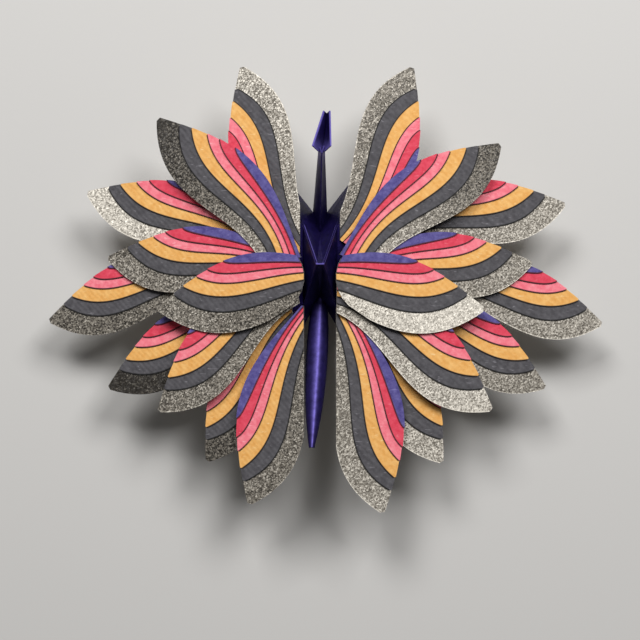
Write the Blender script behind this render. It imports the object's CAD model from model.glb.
import math

import bmesh
import bpy
import numpy as np
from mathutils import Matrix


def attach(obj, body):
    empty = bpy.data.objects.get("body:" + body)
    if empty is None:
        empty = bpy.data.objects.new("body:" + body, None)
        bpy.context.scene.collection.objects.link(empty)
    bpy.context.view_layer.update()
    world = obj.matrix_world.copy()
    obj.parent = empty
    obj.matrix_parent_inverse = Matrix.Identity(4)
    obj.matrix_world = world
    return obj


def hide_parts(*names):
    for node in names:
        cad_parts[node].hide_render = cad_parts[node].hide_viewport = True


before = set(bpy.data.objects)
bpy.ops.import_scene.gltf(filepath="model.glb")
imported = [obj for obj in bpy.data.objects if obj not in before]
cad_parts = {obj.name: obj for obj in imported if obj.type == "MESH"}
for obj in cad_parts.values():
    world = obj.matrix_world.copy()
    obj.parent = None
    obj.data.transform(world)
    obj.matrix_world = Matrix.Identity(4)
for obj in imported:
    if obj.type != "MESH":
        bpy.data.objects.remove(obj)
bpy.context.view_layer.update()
mm = 0.001


def linear(hexColour):
    # sRGB hex to linear light, as Blender's colour sockets want it
    parts = np.array([int(hexColour[i:i + 2], 16) for i in (1, 3, 5)]) / 255
    curve = np.where(parts <= 0.04045, parts / 12.92, ((parts + 0.055) / 1.055) ** 2.4)
    return (*(float(part) for part in curve), 1.0)


def addNode(tree, kind, inputs=None, **settings):
    # one node with its settings; each input is either another node's output or a plain value
    node = tree.nodes.new(kind)
    for name, value in settings.items():
        setattr(node, name, value)
    for socket, value in (inputs or {}).items():
        if isinstance(value, bpy.types.NodeSocket):
            tree.links.new(value, node.inputs[socket])
        else:
            node.inputs[socket].default_value = value
    return node


def newMaterial(name):
    # empty node material with its shader and output joined
    material = bpy.data.materials.new(name)
    material.use_nodes = True
    tree = material.node_tree
    tree.nodes.clear()
    shader = addNode(tree, "ShaderNodeBsdfPrincipled")
    addNode(tree, "ShaderNodeOutputMaterial", {"Surface": shader.outputs["BSDF"]})
    return material, tree, shader


def setRamp(ramp, stops):
    # colour stops of a ramp, as pairs of place and hex colour
    elements = ramp.color_ramp.elements
    while len(elements) > 1:
        elements.remove(elements[0])
    elements[0].position = stops[0][0]
    elements[0].color = linear(stops[0][1])
    for place, colour in stops[1:]:
        elements.new(place).color = linear(colour)


# Glitter card: flakes set in a clear binder on toned card, each with its own tilt and brightness,
# and a thin line of bare card where the blade went through the lower edge; true flakes are about 0.1 mm,
# drawn coarser here so that the grain shows
glitterLook = {
    "flake": 0.21, "dark": "#2f2b26", "middle": "#857e73", "light": "#e6dfd2", "spread": 0.7, "tilt": 0.36,
    "bareStep": 1.5, "bareWidth": 0.13, "metallic": 0.25, "roughness": 0.46,
}
lineBlur = 0.3  # share of a line's width over which its side fades, each way


def edgeLine(tree, width):
    # 1 on a line of this width, in millimetres, along the lower edge, and 0 elsewhere
    distance = addNode(tree, "ShaderNodeAttribute", attribute_name="lowEdge").outputs["Fac"]
    return addNode(
        tree, "ShaderNodeMapRange",
        {"Value": distance, "From Min": width * (1 - lineBlur), "From Max": width * (1 + lineBlur),
         "To Min": 1.0, "To Max": 0.0},
    ).outputs["Result"]


def makeGlitter(look):
    material, tree, shader = newMaterial("champagne_glitter_card")
    place = addNode(tree, "ShaderNodeTexCoord").outputs["Object"]
    flakes = addNode(tree, "ShaderNodeTexVoronoi", {"Vector": place, "Scale": 1 / (look["flake"] * mm)})
    split = addNode(tree, "ShaderNodeSeparateColor", {"Color": flakes.outputs["Color"]})
    # brightness: the feather's own level, with each flake a random step above or below it
    glint = addNode(tree, "ShaderNodeAttribute", attribute_name="glint").outputs["Fac"]
    level = addNode(
        tree, "ShaderNodeMath",
        {0: split.outputs["Red"], 1: look["spread"], 2: glint}, operation="MULTIPLY_ADD",
    )
    # the bare line catches the light most where the feather is brightest
    bare = addNode(tree, "ShaderNodeAttribute", attribute_name="bare").outputs["Fac"]
    bared = addNode(
        tree, "ShaderNodeMath",
        {0: edgeLine(tree, look["bareWidth"]), 1: bare, 2: level.outputs[0]}, operation="MULTIPLY_ADD",
    )
    ramp = addNode(tree, "ShaderNodeValToRGB", {"Fac": bared.outputs[0]})
    setRamp(ramp, [(0.0, look["dark"]), (0.5, look["middle"]), (1.0, look["light"])])
    tree.links.new(ramp.outputs["Color"], shader.inputs["Base Color"])
    # each flake leans its own way: random cell colour less one half, added to the surface normal
    lean = addNode(tree, "ShaderNodeVectorMath", {0: flakes.outputs["Color"], 1: (0.5, 0.5, 0.5)}, operation="SUBTRACT")
    leanScaled = addNode(tree, "ShaderNodeVectorMath", {0: lean.outputs[0], "Scale": look["tilt"]}, operation="SCALE")
    normal = addNode(tree, "ShaderNodeNewGeometry").outputs["Normal"]
    mixed = addNode(tree, "ShaderNodeVectorMath", {0: normal, 1: leanScaled.outputs[0]}, operation="ADD")
    leaning = addNode(tree, "ShaderNodeVectorMath", {0: mixed.outputs[0]}, operation="NORMALIZE")
    tree.links.new(leaning.outputs[0], shader.inputs["Normal"])
    shader.inputs["Metallic"].default_value = look["metallic"]
    shader.inputs["Roughness"].default_value = look["roughness"]
    return material


# Uncoated coloured papers: fibre mottle, stray pale fibres, fine laid ribs, and a dark line along the cut lower edge
paperLooks = {
    "charcoal": {"base": "#403e42", "light": "#59575b", "line": "#060505", "fleck": "#8d8a90", "rib": 0.8},
    "yellow": {"base": "#e0a150", "light": "#efbb70", "line": "#170c07", "fleck": "#f6d69c", "rib": 0.6},
    "pink": {"base": "#ea697a", "light": "#f7919b", "line": "#300a12", "fleck": "#fcbac0", "rib": 0.3},
    "red": {"base": "#d12f48", "light": "#e44e64", "line": "#3d0812", "fleck": "#ee8892", "rib": 0.2},
    "indigo": {"base": "#40377a", "light": "#665f9e", "line": "#4a0c22", "fleck": "#8f88c0", "rib": 0.2},
}
paperGrain = {
    "mottle": 1.1, "mottleDetail": 5.0, "mottleRough": 0.68, "mottleRange": (0.36, 0.70),
    "fibre": 1.26, "fibreTurn": 0.5, "fibreStretch": 3.2, "fibreWander": 0.6, "fibreRange": (0.64, 0.74),
    "fibreShow": 0.55, "ribPitch": 0.853, "ribWander": 2.5, "tooth": 0.05, "toothShow": 0.6,
    "lineWidth": 0.2, "roughness": 0.74,
}


def makePaper(colour, look, grain):
    material, tree, shader = newMaterial(colour + "_uncoated_paper")
    place = addNode(tree, "ShaderNodeTexCoord").outputs["Object"]
    # cloudy formation of the sheet
    mottle = addNode(
        tree, "ShaderNodeTexNoise",
        {"Vector": place, "Scale": 1 / (grain["mottle"] * mm), "Detail": grain["mottleDetail"],
         "Roughness": grain["mottleRough"]},
    )
    ramp = addNode(tree, "ShaderNodeValToRGB", {"Fac": mottle.outputs["Fac"]})
    setRamp(ramp, list(zip(grain["mottleRange"], (look["base"], look["light"]))))
    # stray fibres: the thin crests of a stretched noise
    stretched = addNode(
        tree, "ShaderNodeMapping",
        {"Vector": place, "Rotation": (0, 0, grain["fibreTurn"]), "Scale": (1.0, grain["fibreStretch"], 1.0)},
    )
    fibres = addNode(
        tree, "ShaderNodeTexNoise",
        {"Vector": stretched.outputs["Vector"], "Scale": 1 / (grain["fibre"] * mm), "Distortion": grain["fibreWander"]},
    )
    faint, full = grain["fibreRange"]
    crest = addNode(
        tree, "ShaderNodeMapRange",
        {"Value": fibres.outputs["Fac"], "From Min": faint, "From Max": full, "To Max": grain["fibreShow"]},
    )
    flecked = addNode(
        tree, "ShaderNodeMix",
        {"Factor": crest.outputs["Result"], "A": ramp.outputs["Color"], "B": linear(look["fleck"])},
        data_type="RGBA",
    )
    tint = addNode(
        tree, "ShaderNodeMix",
        {"Factor": edgeLine(tree, grain["lineWidth"]), "A": flecked.outputs["Result"], "B": linear(look["line"])},
        data_type="RGBA",
    )
    tree.links.new(tint.outputs["Result"], shader.inputs["Base Color"])
    # laid ribs, broken up by the mottle, and the tooth of the sheet; diagonal bands come back each time that the sum
    # of the scaled coordinates has grown by a fifth of pi
    bandStep = math.pi / 5 / math.sqrt(2)
    ribs = addNode(
        tree, "ShaderNodeTexWave",
        {"Vector": place, "Scale": bandStep / (grain["ribPitch"] * mm), "Distortion": grain["ribWander"]},
        bands_direction="DIAGONAL",
    )
    height = addNode(
        tree, "ShaderNodeMath",
        {0: ribs.outputs["Fac"], 1: look["rib"], 2: mottle.outputs["Fac"]}, operation="MULTIPLY_ADD",
    )
    bump = addNode(
        tree, "ShaderNodeBump",
        {"Height": height.outputs[0], "Strength": grain["toothShow"], "Distance": grain["tooth"] * mm},
    )
    tree.links.new(bump.outputs["Normal"], shader.inputs["Normal"])
    shader.inputs["Roughness"].default_value = grain["roughness"]
    return material


# Cut edges and the plain back of the card: pale pulp with a soft mottle, or dark where coloured paper was cut
plainLooks = {
    "white_card_back": {"base": "#bdb6aa", "light": "#cbc5ba"},
    "white_card_edge": {"base": "#c8c1b5", "light": "#d8d2c8"},
    "dark_cut_edge": {"base": "#1c1413", "light": "#2c2120"},
}
plainGrain = {"mottle": 0.8, "mottleDetail": 4.0, "mottleRange": (0.35, 0.70), "roughness": 0.85}


def makePlain(name, look, grain):
    material, tree, shader = newMaterial(name)
    place = addNode(tree, "ShaderNodeTexCoord").outputs["Object"]
    mottle = addNode(
        tree, "ShaderNodeTexNoise",
        {"Vector": place, "Scale": 1 / (grain["mottle"] * mm), "Detail": grain["mottleDetail"]},
    )
    ramp = addNode(tree, "ShaderNodeValToRGB", {"Fac": mottle.outputs["Fac"]})
    setRamp(ramp, list(zip(grain["mottleRange"], (look["base"], look["light"]))))
    tree.links.new(ramp.outputs["Color"], shader.inputs["Base Color"])
    shader.inputs["Roughness"].default_value = grain["roughness"]
    return material


paperMaterials = {colour: makePaper(colour, look, paperGrain) for colour, look in paperLooks.items()}
paperMaterials["glitter"] = makeGlitter(glitterLook)
plainMaterials = {name: makePlain(name, look, plainGrain) for name, look in plainLooks.items()}
print("materials made")

# Crane: the folds of its own sheet, in millimetres
craneForm = {
    "paperSide": 75.0, "sheet": 0.3, "bellyDepth": 5.5, "humpSpread": 5.8, "peakHalf": 0.6, "slope": 0.8,
    "flatWidth": 5.0, "flatLength": 12.0, "wingFoot": 8.5, "wingDroop": 7.0, "wingTuck": 5.0,
    "neckRoot": (0, 6.0, 9.5), "neckTop": (0.3, 19.7, 22.0), "neckDepth": 5.4, "neckSpread": 1.2, "neckTaper": 0.35,
    "crown": (1.6, 1.2, 0.8), "throatDrop": 2.2, "beak": (0.9, 7.1, -2.6), "beakEnd": 0.35,
    "tailRoot": (0, -5.6, 10.0), "tailTip": (-1.5, -32.8, 18.5), "tailRadius": 1.85, "tailRoll": 125.0,
    "tailPlaces": (0, 0.60, 1), "tailWidths": (0.72, 1.0, 0.28),
}
humpHalf = craneForm["paperSide"] * (math.sqrt(2) - 1) / 2
humpLean = craneForm["humpSpread"] - craneForm["peakHalf"]
humpHeight = math.sqrt(humpHalf**2 - humpLean**2)
footShare = craneForm["wingFoot"] / humpHalf
droop = math.radians(craneForm["wingDroop"])
foldOut = craneForm["humpSpread"] - humpLean * footShare + craneForm["sheet"] * humpHeight / humpHalf
foldUp = craneForm["bellyDepth"] + humpHeight * footShare + craneForm["sheet"] * humpLean / humpHalf

# Feather: thickness of card and paper, the curves of its upper and lower edge as shares of its length, the round root
# of the top rank, and how finely the sheets are divided
featherForm = {
    "halfSpan": 50.0, "card": 0.3, "paper": 0.16, "overhang": 0.03, "width": 0.332,
    "edge": [(0, 0), (0.28, 0.11), (0.50, 0.27), (1, 0)],
    "blunt": 0.07, "shoulderDrop": 1.40, "waist": 0.50,
    "topRank": 5, "roundOut": 0.182, "roundForward": -0.046, "roundRadius": 0.134,
    "roundFrom": 112, "roundTo": 236, "roundCuts": 10,
    "steps": 44, "across": [0, 0.012, 0.05, 0.16, 0.35, 0.55, 0.75, 0.9, 0.965, 1], "edgeSteps": 90,
    "weld": 1e-4, "cutSlack": 1e-5,
}

# Layers from the bottom up: colour, end of the upper edge, width, and handle that makes the tip blunt
layers = [
    ("glitter", 1.000, 1.00, 0.77), ("charcoal", 0.930, 0.77, 0.80), ("yellow", 0.888, 0.585, 0.78),
    ("pink", 0.828, 0.412, 0.80), ("red", 0.777, 0.256, 0.88), ("indigo", 0.700, 0.115, 0.96),
]

# Ranks from neck to tail: level in the pile, side of the upper edge, width, drops of waist and heel, place of the
# heel, and where the root is cut
ranks = [
    (0, -1, 1.00, 0.55, 0.42, 0.10, 0.072), (2, 1, 1.00, 0.55, 0.50, 0.30, 0.054),
    (0, 1, 1.00, 0.55, 0.42, 0.30, 0.260), (1, 1, 1.00, 0.55, 0.42, 0.30, 0.062),
    (0, 1, 1.00, 0.55, 0.42, 0.30, 0.460), (3, 1, 0.99, 0.95, 0.22, 0.30, 0.048),
    (0, 1, 1.00, 0.55, 0.42, 0.30, 0.320), (2, 1, 1.00, 0.55, 0.42, 0.30, 0.054),
    (0, 1, 1.00, 0.55, 0.42, 0.30, 0.100), (1, 1, 1.03, 0.55, 0.42, -0.10, 0.055),
]

# Tip and root of each feather: out from the middle and towards the head, in half spans
leftPlaces = [
    (0.291, 0.718, 0.110, 0.024), (0.576, 0.536, 0.062, 0.026), (0.850, 0.274, 0.164, 0.082),
    (0.770, 0.034, 0.066, 0.004), (0.996, -0.196, 0.334, 0.020), (0.582, -0.152, -0.108, -0.012),
    (0.776, -0.442, 0.182, -0.102), (0.584, -0.524, 0.088, -0.020), (0.416, -0.710, 0.106, -0.094),
    (0.260, -0.864, 0.062, -0.148),
]
rightPlaces = [
    (0.342, 0.716, 0.114, 0.062), (0.644, 0.444, 0.064, 0.036), (0.898, 0.232, 0.190, 0.152),
    (0.770, 0.015, 0.066, -0.018), (1.038, -0.208, 0.370, -0.006), (0.586, -0.154, -0.106, -0.012),
    (0.828, -0.441, 0.240, -0.094), (0.622, -0.520, 0.050, -0.040), (0.450, -0.714, 0.098, -0.058),
    (0.232, -0.896, 0.106, -0.158),
]

# Brightness of the glitter at the tip and at the root of each feather, which all lie a little differently to the light
leftGlints = [
    (0.62, 0.56), (-0.14, 0.64), (0.92, 0.76), (0.36, 0.38), (0.28, 0.24),
    (0.38, 0.24), (-0.14, -0.06), (0.38, 0.42), (0.16, 0.16), (0.38, 0.36),
]
rightGlints = [
    (0.42, 0.40), (0.14, 0.70), (0.60, 0.50), (0.52, 0.44), (0.56, 0.50),
    (0.98, 0.76), (0.48, 0.50), (0.82, 0.56), (0.70, 0.56), (0.62, 0.42),
]


def bezier(points, shares):
    # cubic curve through four control points, at the given shares of its parameter
    t = np.asarray(shares)[:, None]
    return points[0] * (1 - t)**3 + points[1] * 3 * t * (1 - t)**2 + points[2] * 3 * t**2 * (1 - t) + points[3] * t**3


def leadingPart(points, share):
    # control points of a curve's first part
    kept = []
    while len(points):
        kept.append(points[0])
        points = points[:-1] + (points[1:] - points[:-1]) * share
    return np.array(kept)


def wingPoint(outShare, forwardShare, side):
    # place on a wing's plane, x out from the fold and y to the bird's left of it
    span = featherForm["halfSpan"]
    return np.array([(span * outShare - foldOut) / math.cos(droop), side * span * forwardShare])


def layerEdges(root, tip, hand, width, waistDrop, heelDrop, heelShare, layer):
    # control points of a layer's upper edge, root to tip, and of its lower edge, tip to heel
    form = featherForm
    _, endShare, layerShare, shoulderShare = layers[layer]
    along = tip - root
    rise = np.array([-along[1], along[0]]) * hand
    drop = rise * (-width * layerShare)
    stand = 1 + form["overhang"] * layer
    upper = np.array([root + along * forth + rise * (up * stand) for forth, up in form["edge"]])
    top = leadingPart(upper, endShare)
    shoulder = leadingPart(upper, endShare * shoulderShare)[-1] + drop * form["shoulderDrop"]
    waist = leadingPart(upper, endShare * form["waist"])[-1] + drop * (waistDrop * layerShare)
    heel = root + drop * heelDrop + along * (width * layerShare * heelShare)
    return top, np.array([top[-1] + drop * form["blunt"], shoulder, waist, heel])


def edgeDistance(points, line):
    # distance of each point from a line of straight runs: from the nearest point of each run, and the least of these
    start, run = line[:-1], line[1:] - line[:-1]
    gap = points[:, None, :] - start[None]
    share = np.clip((gap * run).sum(-1) / (run * run).sum(-1), 0, 1)
    return np.linalg.norm(gap - share[..., None] * run, axis=-1).min(1)


def gridFaces(rows, columns):
    # corners of the faces between a grid's neighbouring rows and columns
    first = (np.arange(rows - 1)[:, None] * columns + np.arange(columns - 1)[None]).ravel()
    return np.stack([first, first + 1, first + columns + 1, first + columns], -1)


def rootCuts(rank, side):
    # straight cuts that trim a feather's root, each as a point and the way that is kept
    form = featherForm
    cuts = [(wingPoint(ranks[rank][-1], 0, side), np.array([1.0, 0.0]))]
    if rank == form["topRank"]:
        centre = wingPoint(form["roundOut"], form["roundForward"], side)
        for turn in np.radians(np.linspace(form["roundFrom"], form["roundTo"], form["roundCuts"])):
            way = np.array([math.cos(turn), side * math.sin(turn)])
            cuts.append((centre + way * form["roundRadius"] * form["halfSpan"], -way))
    return cuts


def featherGrid(side, places, rank, layer):
    # ruled sheet between the two edges, trimmed at the root; returns points, faces, distance from the lower edge,
    # and reach, which is 0 at the root and 1 at the tip
    _, turn, rankWidth, *rootShares, _ = ranks[rank]
    tipOut, tipForward, rootOut, rootForward = places[rank]
    root = wingPoint(rootOut, rootForward, side)
    tip = wingPoint(tipOut, tipForward, side)
    width = featherForm["width"] * rankWidth
    top, low = layerEdges(root, tip, side * turn, width, *rootShares, layer)
    along = np.sin(np.linspace(0, math.pi / 2, featherForm["steps"]))
    upper, lower = bezier(top, along), bezier(low, 1 - along)
    across = np.array(featherForm["across"])[None, :, None]
    points = (upper[:, None] * (1 - across) + lower[:, None] * across).reshape(-1, 2)
    faces = gridFaces(len(along), across.shape[1])

    work = bmesh.new()
    sheet = bpy.data.meshes.new("work")
    sheet.from_pydata(np.column_stack([points, np.zeros(len(points))]).tolist(), [], faces.tolist())
    work.from_mesh(sheet)
    bmesh.ops.remove_doubles(work, verts=work.verts, dist=featherForm["weld"])
    for place, kept in rootCuts(rank, side):
        bmesh.ops.bisect_plane(
            work, geom=work.verts[:] + work.edges[:] + work.faces[:], dist=featherForm["cutSlack"],
            plane_co=(*place.tolist(), 0), plane_no=(*kept.tolist(), 0), clear_inner=True,
        )
    bmesh.ops.reverse_faces(work, faces=[face for face in work.faces if face.normal.z < 0])
    work.to_mesh(sheet)
    work.free()
    flat = np.empty(len(sheet.vertices) * 3)
    sheet.vertices.foreach_get("co", flat)
    flat = flat.reshape(-1, 3)[:, :2]
    corners = [tuple(face.vertices) for face in sheet.polygons]
    bpy.data.meshes.remove(sheet)
    lowEdge = bezier(low, np.linspace(0, 1, featherForm["edgeSteps"]))
    reach = np.clip((flat - root) @ (tip - root) / ((tip - root) @ (tip - root)), 0, 1)
    return flat, corners, edgeDistance(flat, lowEdge), reach


def liftToWing(flat, side, lift):
    # from the wing's plane to the frame, in metres
    out, up = flat[:, 0], craneForm["sheet"] / 2 + lift
    x = side * (foldOut + out * math.cos(droop) + up * math.sin(droop))
    z = foldUp - out * math.sin(droop) + up * math.cos(droop)
    return np.column_stack([x, side * flat[:, 1], z]) * mm


def addObject(name, points, faces, values, materials):
    # mesh object at the origin with its named values per point
    mesh = bpy.data.meshes.new(name)
    mesh.from_pydata(points.tolist(), [], faces)
    for key, value in values.items():
        layerValues = mesh.attributes.new(key, "FLOAT", "POINT")
        layerValues.data.foreach_set("value", np.asarray(value, dtype=np.float32))
    for material in materials:
        mesh.materials.append(material)
    piece = bpy.data.objects.new(name, mesh)
    bpy.context.collection.objects.link(piece)
    return piece


featherHeight = featherForm["card"] + featherForm["paper"] * (len(layers) - 1)
for rank, (level, *_) in enumerate(ranks):
    lift = level * featherHeight
    for layer, (colour, *_) in enumerate(layers):
        node = f"feather_{rank + 1:02d}_{colour}"
        thickness = featherForm["paper"] if layer else featherForm["card"]
        lift += thickness
        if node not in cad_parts:
            continue
        points, faces, lowEdge, glint = [], [], [], []
        for side, places, glints in ((-1, leftPlaces, leftGlints), (1, rightPlaces, rightGlints)):
            flat, corners, distance, reach = featherGrid(side, places, rank, layer)
            start = sum(len(part) for part in points)
            points.append(liftToWing(flat, side, lift))
            faces += [tuple(start + corner for corner in face) for face in corners]
            lowEdge.append(distance)
            tipGlint, rootGlint = glints[rank]
            glint.append(rootGlint + (tipGlint - rootGlint) * reach)
        values = {"lowEdge": np.concatenate(lowEdge)}
        if layer:
            materials = [paperMaterials[colour], paperMaterials[colour], plainMaterials["dark_cut_edge"]]
        else:
            materials = [paperMaterials[colour], plainMaterials["white_card_back"], plainMaterials["white_card_edge"]]
            values["glint"] = np.concatenate(glint) - glitterLook["spread"] / 2
            values["bare"] = np.concatenate(glint)**2 * glitterLook["bareStep"]
        piece = addObject(f"cut_{rank + 1:02d}_{colour}", np.concatenate(points), faces, values, materials)
        solid = piece.modifiers.new("thickness", "SOLIDIFY")
        solid.thickness = thickness * mm
        solid.offset = -1
        solid.material_offset = 1
        solid.material_offset_rim = 2
        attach(piece, "root")
        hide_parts(node)
print("feathers built")


# Violet folded paper: dark satin face, paler along the worn folds and where the rolled tail and the crown are rubbed
craneLook = {
    "base": "#0e0a2a", "light": "#1a1344", "rubbed": "#766bc0", "worn": "#6f64b8", "sheen": "#8f80e8",
    "mottle": 1.2, "mottleDetail": 5.0, "mottleRough": 0.65, "mottleRange": (0.35, 0.75), "rubMottle": 1.9,
    "wornWidth": 0.14, "wornRange": (0.4, 1.5), "wornShow": 0.8, "wornArm": 0.5,
    "tailLine": 7.0, "tailLineLeft": 9.0, "tailLineRight": 5.0, "crownRub": 0.45, "crownReach": 1.5,
    "tooth": 0.04, "toothShow": 0.4, "roughness": 0.42, "specular": 0.2,
}


def makeCranePaper(look):
    material, tree, shader = newMaterial("violet_satin_paper")
    place = addNode(tree, "ShaderNodeTexCoord").outputs["Object"]
    mottle = addNode(
        tree, "ShaderNodeTexNoise",
        {"Vector": place, "Scale": 1 / (look["mottle"] * mm), "Detail": look["mottleDetail"],
         "Roughness": look["mottleRough"]},
    )
    ramp = addNode(tree, "ShaderNodeValToRGB", {"Fac": mottle.outputs["Fac"]})
    setRamp(ramp, list(zip(look["mottleRange"], (look["base"], look["light"]))))
    # the rubbed places are uneven, as the mottle lets some fibres show more than others
    rub = addNode(tree, "ShaderNodeAttribute", attribute_name="rub").outputs["Fac"]
    strength = addNode(
        tree, "ShaderNodeMath", {0: mottle.outputs["Fac"], 1: look["rubMottle"]}, operation="MULTIPLY",
    )
    uneven = addNode(
        tree, "ShaderNodeMath", {0: rub, 1: strength.outputs[0]}, operation="MULTIPLY", use_clamp=True,
    )
    rubbed = addNode(
        tree, "ShaderNodeMix",
        {"Factor": uneven.outputs[0], "A": ramp.outputs["Color"], "B": linear(look["rubbed"])},
        data_type="RGBA",
    )
    # worn folds: full on the fold, and gone at a ragged distance from it
    distance = addNode(tree, "ShaderNodeAttribute", attribute_name="foldEdge").outputs["Fac"]
    ragged = addNode(
        tree, "ShaderNodeMath",
        {0: mottle.outputs["Fac"], 1: look["wornWidth"], 2: distance}, operation="MULTIPLY_ADD",
    )
    near, far = look["wornRange"]
    worn = addNode(
        tree, "ShaderNodeMapRange",
        {"Value": ragged.outputs[0], "From Min": look["wornWidth"] * near, "From Max": look["wornWidth"] * far,
         "To Min": look["wornShow"], "To Max": 0.0},
    )
    tint = addNode(
        tree, "ShaderNodeMix",
        {"Factor": worn.outputs["Result"], "A": rubbed.outputs["Result"], "B": linear(look["worn"])},
        data_type="RGBA",
    )
    tree.links.new(tint.outputs["Result"], shader.inputs["Base Color"])
    bump = addNode(
        tree, "ShaderNodeBump",
        {"Height": mottle.outputs["Fac"], "Strength": look["toothShow"], "Distance": look["tooth"] * mm},
    )
    tree.links.new(bump.outputs["Normal"], shader.inputs["Normal"])
    shader.inputs["Roughness"].default_value = look["roughness"]
    shader.inputs["Specular IOR Level"].default_value = look["specular"]
    shader.inputs["Specular Tint"].default_value = linear(look["sheen"])
    return material


# how far the middle of a panel stands out from its folds, in millimetres
craneBulges = {"wall": 0.10, "valley": -0.15, "belly": 0.25, "neck": 0.25, "head": 0.20, "flat": 0.0}


def unit(vector):
    # the same way at length one
    return vector / np.linalg.norm(vector)


def rollRim(radius):
    # how far out and down from the ridge the rim of a rolled sheet lies
    angle = math.radians(craneForm["tailRoll"])
    return radius * math.sin(angle), radius * (1 - math.cos(angle))


def cranePanels(side):
    # corners of the folded panels on one side, +1 for the right and -1 for the left, with each panel's bulge;
    # a corner that comes twice makes a triangle
    form = craneForm
    sheet = form["sheet"]
    peakUp = form["bellyDepth"] + humpHeight
    peak = np.array([side * form["peakHalf"], 0, peakUp])
    hinge = np.array([side * form["humpSpread"], humpHalf, form["bellyDepth"]])
    back = np.array([1, -1, 1])
    belly = np.array([side * form["flatWidth"] / 2, form["flatLength"] / 2, sheet])
    clear = np.array([0, 0, sheet / 2])
    shift = np.array([side * humpHeight, 0, humpLean]) * (sheet / humpHalf)
    fold = np.array([side * foldOut, 0, foldUp])
    reach = form["paperSide"] / 2 - form["wingFoot"]
    wingTip = fold + np.array([side * reach * math.cos(droop), 0, -reach * math.sin(droop)])
    wingHalf = np.array([0, humpHalf * reach / (form["paperSide"] / 2), 0])
    tuck = np.array([0, form["wingTuck"], 0])
    share = form["wingTuck"] / (form["paperSide"] / 2)
    lead = fold + wingHalf + (wingTip - fold - wingHalf) * share
    trail = fold - wingHalf + (wingTip - fold + wingHalf) * share
    neckRoot, neckTop, tailRoot = (np.array(form[key]) for key in ("neckRoot", "neckTop", "tailRoot"))
    way = unit(neckTop - neckRoot)
    neckSide = np.array([side * form["neckSpread"], form["neckDepth"] * way[2], -form["neckDepth"] * way[1]])
    crown = neckTop + np.array(form["crown"]) * (side, 1, 1)
    throat = neckTop - (0, 0, form["throatDrop"])
    beak = neckTop + np.array(form["beak"])
    rimOut, rimDown = rollRim(form["tailRadius"] * form["tailWidths"][0])
    tailLow = tailRoot + np.array([side * rimOut, 0, -rimDown])
    panels = [
        ("wall", [peak, peak, hinge * back, hinge]),
        ("valley", [peak, peak, hinge, neckRoot]),
        ("valley", [peak, peak, hinge * back, tailRoot]),
        ("belly", [hinge, hinge * back, belly * back, belly]),
        ("flat", [hinge, hinge, belly + clear, neckRoot + neckSide]),
        ("flat", [hinge * back, hinge * back, belly * back + clear, tailLow]),
        ("flat", [hinge, hinge, neckRoot, neckRoot + neckSide]),  # inner layers beside the neck and the tail
        ("flat", [hinge * back, hinge * back, tailRoot, tailLow]),
        ("flat", [hinge + shift, hinge * back + shift, fold - wingHalf + tuck, fold + wingHalf - tuck]),
        ("flat", [fold + wingHalf - tuck, fold - wingHalf + tuck, trail, lead]),
        ("flat", [wingTip, wingTip, trail, lead]),
        ("neck", [neckRoot, neckTop, neckTop + neckSide * form["neckTaper"], neckRoot + neckSide]),
        ("head", [throat, beak, beak + (crown - throat) * form["beakEnd"], crown]),
    ]
    return [(corners, craneBulges[kind]) for kind, corners in panels]


def middlePanels():
    # the flat under the belly and the narrow slopes from the blunt peak down the two valleys
    form = craneForm
    out, forward, up = form["flatWidth"] / 2, form["flatLength"] / 2, form["sheet"] / 2
    turns = ((1, 1), (-1, 1), (-1, -1), (1, -1))
    flat = [np.array([out * across, forward * along, up]) for across, along in turns]
    left = np.array([-form["peakHalf"], 0, form["bellyDepth"] + humpHeight])
    right = left * (-1, 1, 1)
    slopes = [
        [left, right, right + (root - right) * form["slope"], left + (root - left) * form["slope"]]
        for root in (np.array(form["neckRoot"]), np.array(form["tailRoot"]))
    ]
    return [(corners, craneBulges["flat"]) for corners in [flat] + slopes]


def slab(middle, normal, thickness, rows, columns):
    # closed sheet from a grid of middle points: both faces and the rim that joins them
    upper = middle + normal * (thickness / 2)
    lower = middle - normal * (thickness / 2)
    count = rows * columns
    faces = gridFaces(rows, columns)
    index = np.arange(count).reshape(rows, columns)
    loop = np.concatenate([index[0, :-1], index[:-1, -1], index[-1, :0:-1], index[:0:-1, 0]])
    following = np.roll(loop, -1)
    rim = np.stack([following, loop, loop + count, following + count], -1)
    return np.concatenate([upper, lower]), np.concatenate([faces, faces[:, ::-1] + count, rim])


def panelSlab(corners, bulge, steps=12):
    # four-cornered panel, bilinear between its corners, with a soft bulge that fades to its folds: each parameter
    # times its rest to one, and sixteen times that, which is one in the middle
    a, b, c, d = corners
    s, t = np.meshgrid(np.linspace(0, 1, steps), np.linspace(0, 1, steps), indexing="ij")
    s, t = s.reshape(-1, 1), t.reshape(-1, 1)
    middle = (a * (1 - s) + b * s) * (1 - t) + (d * (1 - s) + c * s) * t
    normal = unit(np.cross(c - a, d - b))
    middle = middle + normal * (bulge * 16 * s * (1 - s) * t * (1 - t))
    return slab(middle, normal, craneForm["sheet"], steps, steps)


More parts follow.
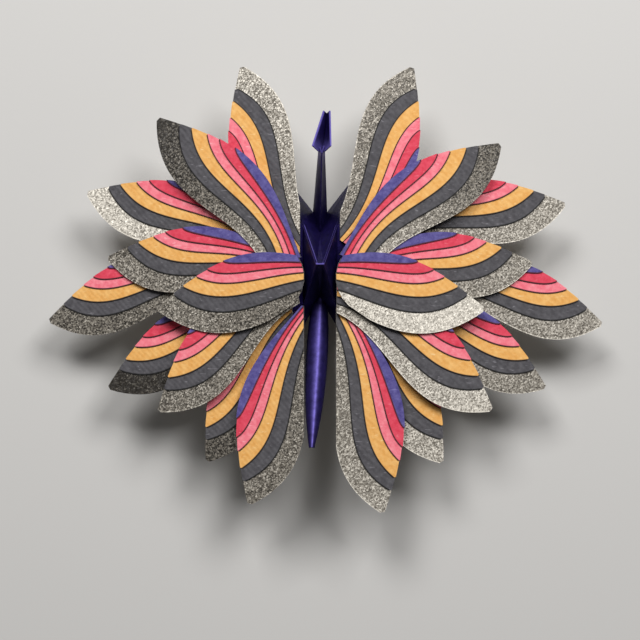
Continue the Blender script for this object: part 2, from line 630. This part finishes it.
def foldRound(start, end, radius, sides=10, capSteps=4):
    # rounded fold: a slim bar with round ends from corner to corner, which is a circle carried along the fold
    way = end - start
    length = np.linalg.norm(way)
    way = way / length
    offAxis = (0.3, 0.5, 0.8)  # no fold runs this way
    side = unit(np.cross(way, offAxis))
    up = np.cross(way, side)
    cap = np.linspace(0, math.pi / 2, capSteps)
    along = np.concatenate([-np.cos(cap) * radius, length + np.sin(cap) * radius])
    thick = np.concatenate([np.sin(cap), np.cos(cap)]) * radius
    turn = np.linspace(0, 2 * math.pi, sides, endpoint=False)
    ring = np.cos(turn)[:, None] * side + np.sin(turn)[:, None] * up
    points = start + along[:, None, None] * way + thick[:, None, None] * ring[None]
    rows = len(along)
    first = np.arange(rows - 1)[:, None] * sides
    here, there = np.arange(sides)[None], (np.arange(sides)[None] + 1) % sides
    faces = np.stack([first + here, first + there, first + sides + there, first + sides + here], -1).reshape(-1, 4)
    return points.reshape(-1, 3), faces


def tailSlab(steps=40, turns=72):
    # rolled tail: arcs of a changing radius hung from a straight ridge
    form = craneForm
    root, tip = np.array(form["tailRoot"]), np.array(form["tailTip"])
    way = unit(tip - root)
    side = unit(np.array([1.0, 0, 0]) - way * way[0])
    up = np.cross(way, side)
    s = np.linspace(0, 1, steps)
    swell = np.polyval(np.polyfit(form["tailPlaces"], form["tailWidths"], 2), s)
    radius = swell * form["tailRadius"] - form["sheet"] / 2
    angle = np.radians(np.linspace(-form["tailRoll"], form["tailRoll"], turns))
    normal = np.sin(angle)[:, None] * side + np.cos(angle)[:, None] * up
    axis = root + s[:, None] * (tip - root) - up * (radius + form["sheet"] / 2)[:, None]
    middle = axis[:, None] + radius[:, None, None] * normal[None]
    spread = np.broadcast_to(normal[None], middle.shape).reshape(-1, 3)
    # rubbed line beside the ridge: one over one plus the square of the angle from it, over its reach on that side
    gap = np.degrees(angle) - craneLook["tailLine"]
    rub = 1 / (1 + (gap / np.where(gap < 0, craneLook["tailLineLeft"], craneLook["tailLineRight"]))**2)
    return *slab(middle.reshape(-1, 3), spread, form["sheet"], steps, turns), np.tile(rub, 2 * steps)


def wornFolds(panels):
    # the folds that show bare fibres: front arms of the hump and edges of the head, from one side's panels
    (peak, _, _, hinge), (throat, _, beakEnd, crown) = panels[0][0], panels[-1][0]
    return [(peak, peak + (hinge - peak) * craneLook["wornArm"]), (throat, crown), (crown, beakEnd)]


shortestFold = 0.01  # a shorter side is a triangle's doubled corner
craneWeld = 1e-8  # metres
rightPanels, leftPanels = cranePanels(1), cranePanels(-1)
craneParts = []
for corners, bulge in rightPanels + leftPanels + middlePanels():
    craneParts.append(panelSlab(corners, bulge))
    for start, end in zip(corners, corners[1:] + corners[:1]):
        if np.linalg.norm(end - start) > shortestFold:
            craneParts.append(foldRound(start, end, craneForm["sheet"] / 2))
tailPoints, tailFaces, tailRub = tailSlab()
craneParts.append((tailPoints, tailFaces))
counts = np.cumsum([0] + [len(points) for points, _ in craneParts])
cranePoints = np.concatenate([points for points, _ in craneParts])
rightGaps, leftGaps = (
    [edgeDistance(cranePoints, np.array(fold)) for fold in wornFolds(panels)] for panels in (rightPanels, leftPanels)
)
# the head is rubbed round its crown: a bell curve over the distance from the crown's two folds
crownGap = np.minimum(rightGaps[1], leftGaps[1])
crownRub = craneLook["crownRub"] * np.exp(-(crownGap / craneLook["crownReach"])**2)
crane = addObject(
    "crane_sheet",
    cranePoints * mm,
    np.concatenate([faces + first for (_, faces), first in zip(craneParts, counts)]).tolist(),
    {
        "foldEdge": np.maximum(np.minimum.reduce(rightGaps + leftGaps) - craneForm["sheet"] / 2, 0),
        "rub": np.maximum(crownRub, np.concatenate([np.zeros(counts[-2]), tailRub])),
    },
    [makeCranePaper(craneLook)],
)
welded = bmesh.new()
welded.from_mesh(crane.data)
bmesh.ops.remove_doubles(welded, verts=welded.verts, dist=craneWeld)
bmesh.ops.dissolve_degenerate(welded, edges=welded.edges, dist=craneWeld)
bmesh.ops.recalc_face_normals(welded, faces=welded.faces)
welded.to_mesh(crane.data)
welded.free()
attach(crane, "root")
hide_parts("crane")
print("crane folded")

# Stage: pale floor under the belly, and two soft lights from beyond the head, right and left of it
stageLook = {
    "floor": "#c9c7c4", "floorHalf": 2.0, "floorUp": -0.0002, "floorRoughness": 0.8,
    "aim": (0, 0, 0.01), "key": 2.75, "keyPlace": (0.24, 0.34, 0.50), "keySize": 0.24,
    "fill": 2.8, "fillPlace": (-0.16, 0.40, 0.50), "fillSize": 0.22, "world": 0.09,
}
half, floorUp = stageLook["floorHalf"], stageLook["floorUp"]
floorCorners = [(-half, -half, floorUp), (half, -half, floorUp), (half, half, floorUp), (-half, half, floorUp)]
floorMesh = bpy.data.meshes.new("floor")
floorMesh.from_pydata(floorCorners, [], [(0, 1, 2, 3)])
floor = bpy.data.objects.new("floor", floorMesh)
bpy.context.collection.objects.link(floor)
floorMaterial, _, floorShader = newMaterial("pale_studio_floor")
floorShader.inputs["Base Color"].default_value = linear(stageLook["floor"])
floorShader.inputs["Roughness"].default_value = stageLook["floorRoughness"]
floorMesh.materials.append(floorMaterial)


def addArea(name, place, aim, size, power):
    # square soft light turned to its aim
    light = bpy.data.lights.new(name, "AREA")
    light.size = size
    light.energy = power
    lamp = bpy.data.objects.new(name, light)
    bpy.context.collection.objects.link(lamp)
    way = np.array(aim) - np.array(place)
    lamp.location = place
    flat = math.hypot(way[0], way[1])
    lamp.rotation_euler = (math.atan2(flat, -way[2]), 0, math.atan2(-way[0], way[1]))


for name in ("key", "fill"):
    addArea(name, stageLook[name + "Place"], stageLook["aim"], stageLook[name + "Size"], stageLook[name])
world = bpy.data.worlds.new("studio")
world.use_nodes = True
backdrop = world.node_tree.nodes["Background"]
backdrop.inputs["Color"].default_value = (1, 1, 1, 1)
backdrop.inputs["Strength"].default_value = stageLook["world"]
bpy.context.scene.world = world

# Camera straight above, framed as in the photograph: 116.4 mm across at the height of the feathers
viewForm = {"height": 0.40, "level": 0.013, "across": 0.1164, "shiftDown": 0.010, "clipStart": 0.01}
camera = bpy.data.cameras.new("camera")
camera.sensor_fit = "HORIZONTAL"
camera.angle = 2 * math.atan(viewForm["across"] / 2 / (viewForm["height"] - viewForm["level"]))
camera.clip_start = viewForm["clipStart"]
eye = bpy.data.objects.new("camera", camera)
eye.location = (0, -viewForm["shiftDown"], viewForm["height"])
bpy.context.collection.objects.link(eye)
bpy.context.scene.camera = eye
bpy.context.scene.view_settings.view_transform = "Standard"
print("stage set")
